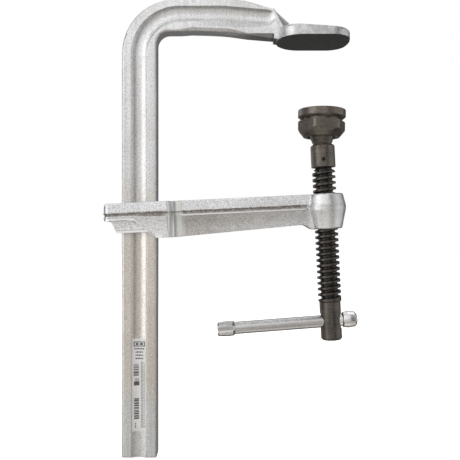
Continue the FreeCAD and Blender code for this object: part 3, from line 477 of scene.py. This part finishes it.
def patchy_flash_shade(graph, along, height, off_boss, in_flute):
    """How much of the painted shade along the flash shows: little on the boss and in the flute, and in
    patches.
    """
    clouds = graph.noise(cells=520, detail=3)
    patches = graph.ramp(clouds, low=0.30, high=0.60, to_low=0.62, to_high=1.0)
    return graph.times(
        flash_line_shade(graph, along, height),
        graph.ramp(off_boss, 0.0, 1.0, to_low=0.2, to_high=1.0),
        graph.where(in_flute, 0.25),
        patches,
    )


def arm_lip_highlight(graph, along, height):
    """1 on the painted highlight along the lip over the skirt and along the skirt's lower edge."""
    outer = graph.ramp(graph.maths("ABSOLUTE", graph.axis("Y"), 0.0), *HEAD_OUTER_SIDE)
    past_bend = graph.greater(graph.plus(along, LIP_BEND), 0.0)
    over_curve = graph.plus(height, graph.times(past_bend, LIP_SLOPE))
    lip = graph.times(outer, graph.band(over_curve, *LIP_HEIGHTS, soft=0.25 * MM))
    foot = graph.times(graph.minus(1.0, outer), graph.ramp(height, *SKIRT_FOOT))
    return graph.times(graph.ramp(along, *FLUTE_TO_LIP), graph.greater(lip, foot))


def arm_ridge_highlight(graph, along, height, off_boss):
    """1 on the painted highlight along the line that runs below the flash, along the beam."""
    ridge = graph.band(height, *RIDGE_HEIGHTS, soft=0.3 * MM)
    return graph.times(ridge, graph.ramp(along, *HEAD_TO_BEAM), off_boss)


def smooth_parts(graph, colour, along, in_flute):
    """The flute and the boss are smooth and less blue. Painted shade darkens the boss on its right, and the
    flute gets its painted highlight and shade.
    """
    smooth = (0.69, 0.70, 0.668, 1.0)
    turning_right = (0.35, 0.75)
    on_boss = graph.ramp(along, *BEAM_TO_SMOOTH_BOSS)
    smooth_there = graph.greater(graph.times(in_flute, 0.8), graph.times(on_boss, 0.45))
    colour = graph.blend(smooth_there, colour, smooth)
    right_of_boss = graph.times(on_boss, graph.ramp(graph.facing("X"), *turning_right))
    colour = graph.shade(colour, graph.where(right_of_boss, 0.80))
    return graph.shade(colour, graph.blend_numbers(in_flute, 1.0, flute_shades(graph, along)))


def arm_relief(graph, speckle, pits, lip, ridge):
    """Soft edges, but crisp along the lip, with the lip and the ridge raised."""
    roundness = graph.ramp(lip, 0.0, 1.0, to_low=0.9 * MM, to_high=0.1 * MM)
    raised = graph.greater(ridge, lip)
    normal = graph.bump(raised, distance=0.6 * MM, strength=0.9, under=graph.soft_edges(roundness))
    normal = graph.bump(speckle, distance=0.10 * MM, strength=0.7, under=normal)
    return graph.bump(pits, distance=0.16 * MM, strength=0.5, under=normal)


def arm_zinc():
    pale = (0.838, 0.846, 0.868, 1.0)
    dull = (0.742, 0.747, 0.757, 1.0)
    graph, colour, speckle, pits = forged_zinc("arm_zinc", pale, dull, grain=1350, depth=0.29)
    here = graph.on_arm()
    along = graph.axis("X", here)
    height = graph.axis("Z", here)
    in_flute = graph.band(along, *FLUTE_ENDS, soft=0.6 * MM)
    off_boss = graph.ramp(along, *BOSS_TO_FLASH)
    flash_shade = patchy_flash_shade(graph, along, height, off_boss, in_flute)
    lip = arm_lip_highlight(graph, along, height)
    ridge = arm_ridge_highlight(graph, along, height, off_boss)

    colour = smooth_parts(graph, colour, along, in_flute)
    colour = arm_shades(graph, colour, along, height)
    colour = graph.worn_edges(colour, radius=0.8 * MM, sharp=0.80, amount=0.5, bare=grey(0.90))
    # Painted highlight on the lip and along the skirt's lower edge.
    colour = graph.blend(lip, colour, grey(0.98, -0.02))
    # Painted shade along the flash line.
    colour = graph.blend(flash_shade, colour, grey(0.23, 0.10))
    # Painted highlight along the ridge.
    colour = graph.blend(ridge, colour, grey(0.99))
    rough = graph.ramp(speckle, *WIDE_LEVELS, to_low=0.30, to_high=0.46)
    return graph.finish(colour, rough, arm_relief(graph, speckle, pits, lip, ridge))


# Where the bar's bulge begins, and distances from the screw's axis and from the set screw's.

BULGE_START = (14 * MM, 17 * MM)
THREAD_RADII = (6.2 * MM, 7.9 * MM)
SCREW_HOLE_RING = (2.1 * MM, 2.5 * MM)
SCREW_FACE = (1.15 * MM, 1.75 * MM)


def bar_zinc():
    """The bar is drawn lengthwise. Painted light makes its underside paler, its bulge is paler, and painted
    shade makes its front darker.
    """
    pale = grey(0.62)
    dull = grey(0.56, 0.02)
    graph, colour, speckle, pits = forged_zinc(
        "bar_zinc", pale, dull, grain=1500, depth=0.09, metallic=0.92
    )
    turning_down = (-0.1, -0.75)
    squarely_front = (-0.75, -0.95)
    # Painted light on the underside, a paler bulge, and painted shade on the front.
    shades = (
        graph.ramp(graph.facing("Z"), *turning_down, to_low=1.0, to_high=1.30),
        graph.ramp(graph.axis("X"), *BULGE_START, to_low=1.0, to_high=1.55),
        graph.ramp(graph.facing("Y"), *squarely_front, to_low=1.0, to_high=0.88),
    )
    for factor in shades:
        colour = graph.shade(colour, factor)
    drawn_along = (0.03, 1.0, 1.0)
    drawn = graph.noise(cells=900, detail=3, place=graph.stretched(drawn_along, BAR_LEAN))
    colour = graph.mottled(colour, drawn, *USUAL_LEVELS, darkest=0.84, palest=1.10)
    colour = graph.worn_edges(colour, radius=0.5 * MM, sharp=0.82, amount=0.4, bare=grey(0.90))
    rough = graph.ramp(pits, *USUAL_LEVELS, to_low=0.22, to_high=0.33)
    normal = graph.bump(drawn, distance=0.012 * MM, strength=0.25, under=graph.soft_edges(0.6 * MM))
    normal = graph.bump(speckle, distance=0.015 * MM, strength=0.3, under=normal)
    return graph.finish(colour, rough, normal)


def black_steel(name, base):
    """Black oxide over turned steel, rubbed brown and bare on the edges."""
    graph = Graph(name, metallic=0.55)
    pale = grey(0.150 * base, 0.15)
    dark = grey(0.100 * base, 0.14)
    clouds = graph.noise(cells=120, detail=4)
    speckle = graph.noise(cells=1300, detail=3, rough=0.7)
    drawn_around = (0.05, 0.05, 1.0)
    turned = graph.noise(cells=1500, detail=2, place=graph.stretched(drawn_around))
    colour = graph.blend(graph.ramp(clouds, low=0.35, high=0.7), pale, dark)
    colour = graph.mottled(colour, speckle, *USUAL_LEVELS, darkest=0.66, palest=1.26)
    colour = graph.mottled(colour, turned, *USUAL_LEVELS, darkest=0.86, palest=1.12)
    scuffs = graph.noise(cells=420, detail=3)
    scuffed = graph.times(graph.ramp(scuffs, low=0.42, high=0.66), 0.5 * base)
    bare = grey(0.36, 0.08)
    colour = graph.worn_edges(colour, radius=0.35 * MM, sharp=0.80, amount=scuffed, bare=bare)
    rough = graph.ramp(speckle, *WIDE_LEVELS, to_low=0.26, to_high=0.42)
    normal = graph.bump(turned, distance=0.02 * MM, strength=0.3, under=graph.soft_edges(0.35 * MM))
    normal = graph.bump(speckle, distance=0.05 * MM, strength=0.5, under=normal)
    return graph, colour, rough, normal


def plain_black():
    graph, colour, rough, normal = black_steel("black_steel", base=1.15)
    return graph.finish(colour, rough, normal)


def spindle_black():
    """The thread is oiled and darker than the head, with painted shade that is deepest in its roots."""
    graph, colour, rough, normal = black_steel("spindle_black", base=1.0)
    height = graph.axis("Z", graph.on_arm())
    blur = 1 * MM
    oiled = graph.ramp(height, THREAD_END - blur, THREAD_END + blur)
    height_left_out = (1.0, 1.0, 0.0)
    from_axis = graph.length(graph.on_arm(height_left_out))
    # Painted shade, deepest in the thread's roots.
    thread_root_shade = graph.ramp(from_axis, *THREAD_RADII, to_low=0.16, to_high=0.50)
    colour = graph.shade(colour, graph.blend_numbers(oiled, 0.78, thread_root_shade))
    rough = graph.minus(rough, graph.times(oiled, 0.07))
    return graph.finish(colour, rough, normal)


def stud_black():
    """The sleeve has a pale ring around the hole of its set screw."""
    graph, colour, rough, normal = black_steel("stud_black", base=0.92)
    depth_lessened = (1.0, 0.35, 1.0)
    away = graph.length(graph.stretched(depth_lessened, centre=SET_SCREW_PLACE))
    ring = graph.band(away, *SCREW_HOLE_RING, soft=0.2 * MM)
    colour = graph.blend(graph.times(ring, 0.35), colour, grey(0.30, 0.08))
    return graph.finish(colour, rough, normal)


def screw_black():
    """Painted shade makes the socket and the rim of the set screw darker than its face."""
    graph, colour, rough, normal = black_steel("screw_black", base=0.8)
    depth_left_out = (1.0, 0.0, 1.0)
    away = graph.length(graph.stretched(depth_left_out, centre=SET_SCREW_PLACE))
    face = graph.band(away, *SCREW_FACE, soft=0.12 * MM)
    colour = graph.shade(colour, graph.ramp(face, 0.0, 1.0, to_low=0.06, to_high=1.0))
    return graph.finish(colour, rough, normal)


def label_paper():
    graph = Graph("label", metallic=0.0, specular=0.4)
    fibre = graph.noise(cells=2600, detail=3)
    stains = graph.noise(cells=90, detail=4)
    colour = graph.blend(graph.ramp(stains, low=0.4, high=0.75), grey(0.86, 0.005), grey(0.78, 0.02))
    colour = graph.mottled(colour, fibre, *USUAL_LEVELS, darkest=0.94, palest=1.04)
    rough = graph.ramp(fibre, *USUAL_LEVELS, to_low=0.40, to_high=0.52)
    return graph.finish(colour, rough, graph.bump(fibre, distance=0.02 * MM, strength=0.3))


def label_ink():
    graph = Graph("label_ink", metallic=0.0, specular=0.3)
    fibre = graph.noise(cells=3000, detail=3)
    colour = graph.blend(graph.ramp(fibre, low=0.35, high=0.7), grey(0.07, 0.02), grey(0.17, 0.02))
    rough = graph.ramp(fibre, *USUAL_LEVELS, to_low=0.5, to_high=0.65)
    return graph.finish(colour, rough, graph.bump(fibre, distance=0.01 * MM, strength=0.3))


def give(node_name, material):
    """Puts one material in every slot of a CAD node."""
    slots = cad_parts[node_name].material_slots
    for slot in slots:
        slot.material = material


# ------------------------------------------------------------- label print


def surface_of(node_name):
    """A function that gives the front surface's Y of a CAD node at (x, z)."""
    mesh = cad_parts[node_name].data
    points = [v.co.copy() for v in mesh.vertices]
    tree = BVHTree.FromPolygons(points, [tuple(p.vertices) for p in mesh.polygons])
    before_it = -1.0

    def front(x, z):
        hit = tree.ray_cast(Vector((x, before_it, z)), Vector((0, 1, 0)))[0]
        return None if hit is None else hit.y

    return front


class Print:
    """Flat printed bars laid on a curved sticker, all in one mesh."""

    STEPS = 4
    LIFT = 0.015 * MM
    SHORTEST_DASH = 0.4 * MM
    SHORTEST_UPRIGHT_DASH = 0.5 * MM
    UPRIGHT_GAP = 0.35 * MM
    GAP_PER_DASH = 0.35

    def __init__(self, node_name):
        self.low, self.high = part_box(node_name)
        self.front = surface_of(node_name)
        self.points = []
        self.faces = []

    def bar(self, left, right, bottom, top):
        """A rectangle; left and right from the sticker's middle line, heights from its foot."""
        middle = (self.low.x + self.high.x) / 2
        first = len(self.points)
        for step in range(self.STEPS + 1):
            x = middle + left + (right - left) * step / self.STEPS
            for z in (self.low.z + bottom, self.low.z + top):
                y = self.front(x, z)
                if y is None:
                    raise ValueError("a printed bar runs off the sticker")
                self.points.append((x, y - self.LIFT, z))
        for step in range(self.STEPS):
            corner = first + 2 * step
            self.faces.append((corner, corner + 2, corner + 3, corner + 1))

    def frame(self, left, right, bottom, top, line):
        """An empty box drawn with lines of that width."""
        self.bar(left, right, bottom, bottom + line)
        self.bar(left, right, top - line, top)
        self.bar(left, left + line, bottom + line, top - line)
        self.bar(right - line, right, bottom + line, top - line)

    def line_of_dashes(self, left, right, middle, height, dashes, chance):
        """A row of short dashes that stands for a line of small print."""
        x = left
        while x < right - self.SHORTEST_DASH:
            length = dashes * chance.uniform(0.6, 1.6)
            end = min(x + length, right)
            self.bar(x, end, middle - height / 2, middle + height / 2)
            x = end + dashes * self.GAP_PER_DASH

    def column_of_dashes(self, middle, width, bottom, top, chance):
        """A line of small print that runs up the sticker."""
        z = bottom
        while z < top - self.SHORTEST_UPRIGHT_DASH:
            length = chance.uniform(0.5, 2.2) * MM
            end = min(z + length, top)
            self.bar(middle - width / 2, middle + width / 2, z, end)
            z = end + self.UPRIGHT_GAP

    def stripes(self, left, right, bottom, top, chance):
        """Cross stripes of uneven thickness stacked up the sticker."""
        z = bottom
        while z < top:
            thick = chance.choice((0.35, 0.5, 0.7, 1.1)) * MM
            end = min(z + thick, top)
            self.bar(left, right, z, end)
            z = end + chance.choice((0.25, 0.4, 0.6)) * MM

    def piece(self, name, material, body):
        mesh = bpy.data.meshes.new(name)
        mesh.from_pydata(self.points, [], self.faces)
        mesh.materials.append(material)
        for face in mesh.polygons:
            face.use_smooth = True
        thing = bpy.data.objects.new(name, mesh)
        bpy.context.scene.collection.objects.link(thing)
        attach(thing, body)
        return thing


def print_label():
    """Generic blocks, stripes and dashes. There is no lettering."""
    chance = random.Random(7)
    ink = Print("rail_label")
    print_heading(ink)
    print_small_lines(ink, chance)
    print_codes(ink, chance)
    print_columns(ink, chance)
    ink.piece("label_print", label_ink(), "frame")


def print_heading(ink):
    """A framed pair of blocks at the sticker's top."""
    ink.frame(left=-3.9 * MM, right=3.9 * MM, bottom=58.5 * MM, top=61.9 * MM, line=0.6 * MM)
    ink.bar(left=-2.5 * MM, right=-0.7 * MM, bottom=59.5 * MM, top=60.9 * MM)
    ink.bar(left=0.2 * MM, right=2.5 * MM, bottom=59.5 * MM, top=60.9 * MM)


def print_small_lines(ink, chance):
    """Four lines of small print, the first one wider."""
    line_height = 1.0 * MM
    usual_dash = 0.9 * MM
    middle_and_reach = ((56.9, 3.4), (54.6, 2.6), (52.4, 2.6), (50.2, 2.6))
    for middle, reach in middle_and_reach:
        ink.line_of_dashes(-reach * MM, reach * MM, middle * MM, line_height, usual_dash, chance)


def print_codes(ink, chance):
    """Striped fields and a block down the sticker's left half."""
    ink.stripes(left=-3.9 * MM, right=-0.4 * MM, bottom=38.2 * MM, top=46.4 * MM, chance=chance)
    ink.bar(left=-3.7 * MM, right=-0.1 * MM, bottom=31.6 * MM, top=34.4 * MM)
    ink.stripes(left=-2.9 * MM, right=-0.1 * MM, bottom=34.8 * MM, top=36.4 * MM, chance=chance)
    ink.stripes(left=-3.6 * MM, right=-0.3 * MM, bottom=8.4 * MM, top=22.8 * MM, chance=chance)


def print_columns(ink, chance):
    """Small print that runs up the sticker: one short line, and three long ones on the right."""
    ink.column_of_dashes(middle=-2.6 * MM, width=0.5 * MM, bottom=2.2 * MM, top=5.8 * MM, chance=chance)
    long_width = 0.42 * MM
    long_foot = 2.4 * MM
    middle_and_top = ((1.3, 48.2), (2.3, 48.0), (3.3, 47.0))
    for middle, top in middle_and_top:
        ink.column_of_dashes(middle * MM, long_width, long_foot, top * MM, chance)


# --------------------------------------------------------- camera and light


def add_camera():
    camera = bpy.data.objects.new("camera", bpy.data.cameras.new("camera"))
    camera.data.lens = CAMERA_LENS
    camera.data.sensor_width = SENSOR_WIDTH
    camera.data.clip_start = NEAREST_SEEN
    camera.data.clip_end = FARTHEST_SEEN
    camera.location = CAMERA_PLACE
    camera.rotation_euler = (math.radians(90), 0, 0)
    bpy.context.scene.collection.objects.link(camera)
    bpy.context.scene.camera = camera


def add_softbox(name, place, width, height, radiance, colour=(1, 1, 1)):
    """A rectangular soft light of that radiance, which points at the object's middle."""
    light = bpy.data.lights.new(name, "AREA")
    light.shape = "RECTANGLE"
    light.size = width
    light.size_y = height
    light.energy = radiance * math.pi * width * height
    light.color = colour
    lamp = bpy.data.objects.new(name, light)
    lamp.location = place
    lamp.rotation_euler = (LIT_POINT - Vector(place)).to_track_quat("-Z", "Y").to_euler()
    lamp.visible_camera = False
    bpy.context.scene.collection.objects.link(lamp)


def add_lights():
    add_softbox("front_floor", (0.1, -0.9, -0.95), width=1.6, height=0.8, radiance=0.50, colour=WARM_WHITE)
    add_softbox("front_low", (-0.3, -1.4, -0.25), width=1.7, height=1.1, radiance=0.66, colour=WARM_WHITE)
    add_softbox("front_high", (-0.35, -1.1, 0.75), width=1.7, height=1.2, radiance=1.10)
    add_softbox("left", (-1.15, -0.72, 0.0), width=0.8, height=1.5, radiance=1.75)
    add_softbox("top", (-0.1, 0.2, 1.2), width=1.4, height=1.4, radiance=1.0)
    add_softbox("right", (1.42, -0.26, 0.0), width=2.0, height=1.6, radiance=0.82)
    add_softbox("back", (0.1, 1.4, 0.0), width=1.6, height=1.8, radiance=0.12)
    add_softbox("back_high", (0.1, 1.1, 1.15), width=1.8, height=1.0, radiance=0.30)
    add_softbox("back_low", (0.1, 1.1, -1.25), width=1.8, height=1.0, radiance=0.25)
    add_softbox("back_left", (-1.05, 1.05, 0.1), width=1.0, height=1.4, radiance=0.9)
    add_softbox("below", (-0.05, -0.25, -1.25), width=1.3, height=0.7, radiance=0.66, colour=WARM_WHITE)


def mix_colours(tree, amount, first, second):
    """Colour that goes from first, a colour or an output, to second as amount goes from 0 to 1."""
    node = tree.nodes.new("ShaderNodeMix")
    node.data_type = "RGBA"
    tree.links.new(amount, node.inputs["Factor"])
    if isinstance(first, bpy.types.NodeSocket):
        tree.links.new(first, node.inputs["A"])
    else:
        node.inputs["A"].default_value = first
    node.inputs["B"].default_value = second
    return node.outputs["Result"]


def add_world(low, high):
    """A white backdrop for the camera. The fill light goes from the colour low up to the colour high."""
    lowest_direction = -0.5
    highest_direction = 0.6
    world = bpy.data.worlds.new("studio")
    world.use_nodes = True
    bpy.context.scene.world = world
    tree = world.node_tree
    height = tree.nodes.new("ShaderNodeSeparateXYZ")
    tree.links.new(tree.nodes.new("ShaderNodeTexCoord").outputs["Generated"], height.inputs[0])
    amount = tree.nodes.new("ShaderNodeMapRange")
    amount.inputs["From Min"].default_value = lowest_direction
    amount.inputs["From Max"].default_value = highest_direction
    tree.links.new(height.outputs["Z"], amount.inputs["Value"])
    fill = mix_colours(tree, amount.outputs["Result"], low, high)
    seen = tree.nodes.new("ShaderNodeLightPath").outputs["Is Camera Ray"]
    shown = mix_colours(tree, seen, fill, WHITE)
    tree.links.new(shown, tree.nodes["Background"].inputs["Color"])


def floor_material():
    """Pale and faintly mottled, with a glow that hides its far edge in the white backdrop."""
    graph = Graph("studio_floor", metallic=0.0, specular=0.1)
    clouds = graph.noise(cells=3, detail=4)
    colour = graph.blend(clouds, grey(0.90), grey(0.86))
    rough = graph.ramp(clouds, *USUAL_LEVELS, to_low=0.85, to_high=0.95)
    graph.shader.inputs["Emission Color"].default_value = WHITE
    glow_reach = (0.25, 1.1)
    glow = graph.ramp(graph.length(graph.place), *glow_reach, to_low=0.75, to_high=1.0)
    graph.feed(graph.shader.inputs["Emission Strength"], glow)
    grain = graph.noise(cells=200)
    return graph.finish(colour, rough, graph.bump(grain, distance=0.05 * MM, strength=0.1))


def add_floor(height):
    """A pale round floor, below the screw's lowest reach. It doesn't show in the steel's reflections."""
    mesh = bpy.data.meshes.new("studio_floor")
    turns = [2 * math.pi * corner / FLOOR_CORNERS for corner in range(FLOOR_CORNERS)]
    ring = [(FLOOR_REACH * math.cos(turn), FLOOR_REACH * math.sin(turn), height) for turn in turns]
    mesh.from_pydata(ring, [], [tuple(range(FLOOR_CORNERS))])
    mesh.materials.append(floor_material())
    floor = bpy.data.objects.new("studio_floor", mesh)
    bpy.context.scene.collection.objects.link(floor)
    floor.visible_glossy = False
    floor.visible_diffuse = False


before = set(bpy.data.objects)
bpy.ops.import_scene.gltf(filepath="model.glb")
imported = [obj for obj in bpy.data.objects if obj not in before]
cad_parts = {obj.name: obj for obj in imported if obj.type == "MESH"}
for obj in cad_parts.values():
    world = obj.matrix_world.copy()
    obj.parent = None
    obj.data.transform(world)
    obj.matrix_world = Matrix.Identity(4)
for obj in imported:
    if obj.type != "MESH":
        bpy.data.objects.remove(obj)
cad_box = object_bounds()

add_camera()
bpy.context.scene.view_settings.view_transform = "Standard"
add_world(low=(0.05, 0.045, 0.04, 1), high=(0.13, 0.13, 0.135, 1))
add_floor(cad_box[0].z - FLOOR_GAP)
add_lights()

give("rail_and_fixed_jaw", rail_zinc())
give("sliding_arm", arm_zinc())
give("tommy_bar", bar_zinc())
give("spindle", spindle_black())
give("ball_stud", stud_black())
give("stud_set_screw", screw_black())
black = plain_black()
give("hex_nut", black)
give("pressure_plate", black)
give("rail_label", label_paper())
print_label()
